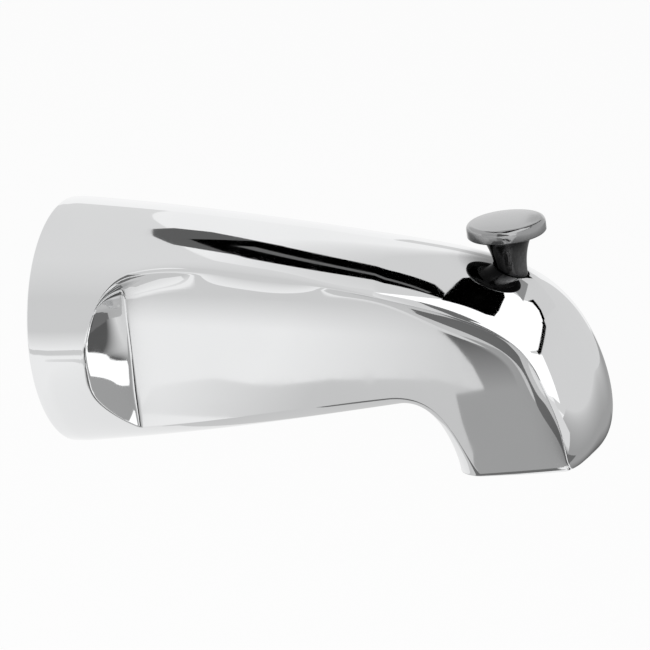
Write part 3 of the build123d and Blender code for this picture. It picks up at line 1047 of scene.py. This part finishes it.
def seen_white(g):
    """1 for rays from the camera, in a mirror or through glass."""
    rays = [g.add("ShaderNodeLightPath", output=name)
            for name in ("Is Camera Ray", "Is Glossy Ray", "Is Transmission Ray")]
    return g.add("ShaderNodeClamp", {}, {"Value": rays[0] + rays[1] + rays[2]})


class SPOUT_OT_stage(bpy.types.Operator):
    """Pale floor, tent of cards, soft light and the camera"""

    bl_idname = "bath_spout.stage"
    bl_label = "Stage"

    def execute(self, context):
        scene = context.scene
        s = scene.bath_spout_stage
        self.camera(scene, s)
        self.floor(s)
        self.world(scene, s)
        for card in self.cards(s):
            self.card(*card)
        self.lamp(scene, s)
        scene.view_settings.view_transform = "Standard"
        return {"FINISHED"}

    def camera(self, scene, s):
        """The photograph's viewpoint."""
        a, e, r = s.azimuth, s.elevation, s.roll
        back = Vector((math.sin(a) * math.cos(e), -math.cos(a) * math.cos(e), math.sin(e)))
        level = Vector((math.cos(a), math.sin(a), 0))
        rise = back.cross(level)
        right = level * math.cos(r) - rise * math.sin(r)
        upward = level * math.sin(r) + rise * math.cos(r)
        aim = Vector((s.pivot, 0, 0)) - right * s.aside - upward * s.below
        camera = bpy.data.objects.new("camera", bpy.data.cameras.new("camera"))
        scene.collection.objects.link(camera)
        turn = Matrix((right, upward, back)).transposed().to_4x4()
        camera.matrix_world = Matrix.Translation(aim + back * s.distance) @ turn
        camera.data.sensor_width = SENSOR
        camera.data.lens = s.lens
        camera.data.clip_end = CLIP_END
        scene.camera = camera

    def floor(self, s):
        """A pale floor that shows white and keeps the spout's shadow."""
        deselect()
        bpy.ops.mesh.primitive_plane_add(size=s.floor_size, location=(s.pivot, 0, -s.floor_drop))
        floor = bpy.context.object
        floor.name = "floor"
        g = Graph(bpy.data.materials.new("pale_floor"))
        grain = g.tint(g.noise(30, 2), darker(s.floor, 0.98), s.floor)
        paper = g.add("ShaderNodeBsdfDiffuse", {}, {"Color": grain})
        glow = g.add("ShaderNodeEmission", {}, {"Color": WHITE, "Strength": 1.0})
        mixed = g.add("ShaderNodeMixShader", {}, {0: seen_white(g) * s.floor_glow, 1: paper, 2: glow})
        g.add("ShaderNodeOutputMaterial", {}, {"Surface": mixed})
        floor.data.materials.append(g.owner)

    def world(self, scene, s):
        """White where it is seen, and a soft even light elsewhere."""
        world = bpy.data.worlds.new("studio")
        g = Graph(world)
        level = seen_white(g) * (1 - s.fill) + s.fill
        sky = g.add("ShaderNodeBackground", {}, {"Color": WHITE, "Strength": level})
        g.add("ShaderNodeOutputWorld", {}, {"Surface": sky})
        scene.world = world

    def cards(self, s):
        """Name, level, fades and corners of each card of the tent.

        The list gives corners and fades in millimetres. A later card hangs before the others of its side.
        """
        sides = {
            "ceiling": lambda x, y, near: (x, y, s.ceiling_z - near),
            "front": lambda x, z, near: (x, near - s.front_y, z),
            "back": lambda x, z, near: (x, s.back_y - near, z),
            "nose": lambda y, z, near: (s.nose_x - near, y, z),
            "floor": lambda x, y, near: (x, y, near - s.near_drop),
            "screen": lambda y, z, near: (s.screen_x - near, y, z),
        }
        black = 0.0
        cards = [
            ("ceiling", s.pale, [(-600, -500), (500, -500), (500, 600), (-600, 600)],
             ("X", -15, 30, s.right)),
            ("ceiling", s.far, [(-600, -500), (-45, -500), (20, -200), (-60, 160), (-200, 600),
              (-600, 600)], ("Y", -400, -100, s.left)),
            ("ceiling", s.grey, [(200, 600), (220, 120), (500, 120), (500, 600)]),
            ("ceiling", s.dim, [(45, -240), (60, -270), (200, -500), (90, -500)]),
            ("ceiling", black, [(330, 170), (420, 150), (500, 100), (500, -100), (300, 0)]),
            ("ceiling", s.softbox, [(200, 70), (300, 70), (340, 120), (410, 110), (500, 45),
              (500, -500), (200, -500), (20, -210), (100, -190)]),
            ("ceiling", s.smear, [(200, 340), (190, 100), (250, 90), (300, 50), (270, 200),
              (240, 340)]),
            ("ceiling", black, [(130, 600), (130, 250), (140, 120), (105, 40), (100, -60), (85, -200),
              (133, -230), (200, -280), (237, -275), (240, -175), (226, -17), (190, 85), (200, 600)]),
            ("ceiling", s.tip, [(-56, 157), (-40, 150), (-21, 117), (0, 80), (0, -28), (-31, 20),
              (-46, 70), (-52, 100), (-58, 130)]),
            ("ceiling", black, [(-32, 68), (-14, 100), (0, 78), (19, 40), (50, -15), (77, -64),
              (91, -127), (88, -190), (55, -138), (23, -87), (0, -36)]),
            ("ceiling", s.glint, [(-12, 45), (68, -145), (73, -142), (-6, 50)]),
            ("front", s.clean, [(-600, -100), (60, -100), (60, 300), (-600, 300)],
             ("Z", -100, 50, s.far)),
            ("front", s.softbox, [(100, 300), (350, 80), (400, -100), (500, -100), (500, 300)]),
            ("front", s.dim, [(60, 300), (140, 300), (340, 80), (385, 0), (380, -50), (60, -50)]),
            ("nose", s.right, [(-500, -150), (600, -150), (600, 300), (-500, 300)]),
            ("nose", s.softbox, [(-500, -100), (-360, -100), (-300, 130), (-500, 150)]),
            ("nose", black, [(-360, 130), (-300, 140), (30, 255), (80, 300), (0, 300), (-360, 170)]),
            ("nose", s.softbox, [(-500, 165), (-330, 160), (0, 280), (20, 300), (-500, 300)]),
            ("back", s.right, [(150, -100), (600, -100), (600, 300), (-100, 300), (-100, 180),
              (150, 180)]),
            ("floor", s.clean, [(-600, 500), (100, 500), (120, -500), (-600, -500)],
             ("X", -50, 60, s.right), ("Y", -342, -372, s.far)),
            # Painted shade: the floor before the outlet, darker near the spout and fading outwards along
            # X
            ("floor", s.chin, [(100, 620), (50, 200), (150, 0), (170, -100), (300, -200), (500, -250),
              (500, 620)], ("X", 200, 500, s.right)),
            # Painted shadow: the spout's shadow on the floor under the nose, fading to the chin level
            ("floor", s.dusk, [(50, 200), (150, 0), (160, -100), (160, 200)], ("X", 100, 160, s.chin)),
            # Painted shadow: under the spout the floor falls from the clean level to the near floor level
            ("floor", s.clean, [(-89, -286), (-83, -289), (-74, -293), (-67, -295), (-50, -292),
              (-37, -293), (-14, -300), (13, -301), (51, -301), (72, -295), (89, -289), (89, 200),
              (20, 300), (0, 50), (0, -100), (-20, -200), (-50, -262), (-85, -262)],
             ("X", -100, -20, s.near_floor_shadow)),
            ("floor", s.band, [(40, -365), (54, -345), (66, -331), (79, -312), (88, -292), (66, -288),
              (72, -262), (80, -235), (82, -200), (150, -200), (170, -280), (140, -365)],
             ("Y", -290, -345, s.dusk)),
            # Painted shadow: the spout's shadow on the floor before the nose
            ("floor", s.dim, [(50, -20), (46, -60), (37, -100), (36, -205), (140, -200), (140, -120),
              (60, -20)]),
            ("floor", black, [(150, -310), (220, -260), (210, -140), (160, -140)]),
            ("screen", s.dim, [(-8, -44), (-8, -100), (-43, -100), (-43, -44)]),
            ("screen", s.dusk, [(-20, -46), (-24.5, -58), (-36, -75), (-43, -75), (-43, -46)]),
            ("screen", s.band, [(-43, -30), (-43, -100), (-75, -100), (-75, -30)]),
            ("screen", s.dusk, [(-19, -30), (-19, -47), (-42, -48.5), (-45, -44), (-60, -37.5),
              (-100, -37.5), (-100, -20), (-30, -20)], ("Z", -47, -38, s.left)),
            ("screen", s.softbox, [(-41.5, -44), (-41.5, -100), (-46, -100), (-46.5, -88), (-51.5, -77),
              (-56.5, -68), (-60.5, -62), (-62, -57), (-61.5, -52.5), (-55, -50.5), (-49, -47)]),
        ]
        layers = dict.fromkeys(sides, 0)
        for side, level, corners, *fades in cards:
            near = layers[side] * s.layer
            layers[side] += 1
            places = [sides[side](a * MM, b * MM, near) for a, b in corners]
            yield f"{side}_card_{layers[side]}", level, fades, places

    def card(self, name, level, fades, corners):
        """A card that only mirrors see."""
        deselect()
        bpy.ops.mesh.primitive_circle_add(vertices=len(corners), radius=1, fill_type="NGON")
        card = bpy.context.object
        card.name = name
        card.data.vertices.foreach_set("co", np.array(corners, float).ravel())
        card.data.update()
        card.data.materials.append(panel_light(name, level, fades))
        card.visible_camera = False
        card.visible_diffuse = False
        card.visible_transmission = False
        card.visible_shadow = False

    def lamp(self, scene, s):
        """One large soft lamp over the camera's left shoulder."""
        data = bpy.data.lights.new("soft_lamp", "AREA")
        data.energy = s.lamp
        data.size = s.lamp_size
        lamp = bpy.data.objects.new("soft_lamp", data)
        scene.collection.objects.link(lamp)
        turn = (-LAMP_PLACE).to_track_quat("-Z", "Y").to_matrix().to_4x4()
        lamp.matrix_world = Matrix.Translation(LAMP_PLACE) @ turn
        lamp.visible_glossy = False


class SPOUT_PT_panel(bpy.types.Panel):
    """Lists the pieces and the stage"""

    bl_idname = "SPOUT_PT_panel"
    bl_label = "Bath spout"
    bl_space_type = "VIEW_3D"
    bl_region_type = "UI"
    bl_category = "Bath spout"

    def draw(self, context):
        for one in OPERATORS:
            self.layout.operator(one.bl_idname, text=one.bl_label)
        for name, group in SETTINGS.items():
            box = self.layout.box()
            box.label(text=group.__doc__)
            for key in group.__annotations__:
                box.prop(getattr(context.scene, name), key)


OPERATORS = [SPOUT_OT_casting, SPOUT_OT_knob, SPOUT_OT_bushing, SPOUT_OT_diverter, SPOUT_OT_stage]
SETTINGS = {
    "bath_spout_casting": SPOUT_PG_casting,
    "bath_spout_scoop": SPOUT_PG_scoop,
    "bath_spout_inside": SPOUT_PG_inside,
    "bath_spout_knob": SPOUT_PG_knob,
    "bath_spout_finish": SPOUT_PG_finish,
    "bath_spout_stage": SPOUT_PG_stage,
}
CLASSES = [*SETTINGS.values(), *OPERATORS, SPOUT_PT_panel]


def register():
    """Adds the classes and the scene's settings."""
    for one in CLASSES:
        bpy.utils.register_class(one)
    for name, group in SETTINGS.items():
        setattr(bpy.types.Scene, name, PointerProperty(type=group))


def unregister():
    """Takes the settings and classes out again."""
    for name in SETTINGS:
        delattr(bpy.types.Scene, name)
    for one in reversed(CLASSES):
        bpy.utils.unregister_class(one)


def main():
    """Makes every piece and the stage."""
    register()
    bpy.ops.bath_spout.casting()
    bpy.ops.bath_spout.knob()
    bpy.ops.bath_spout.bushing()
    bpy.ops.bath_spout.diverter()
    bpy.ops.bath_spout.stage()


if __name__ == "__main__":
    main()
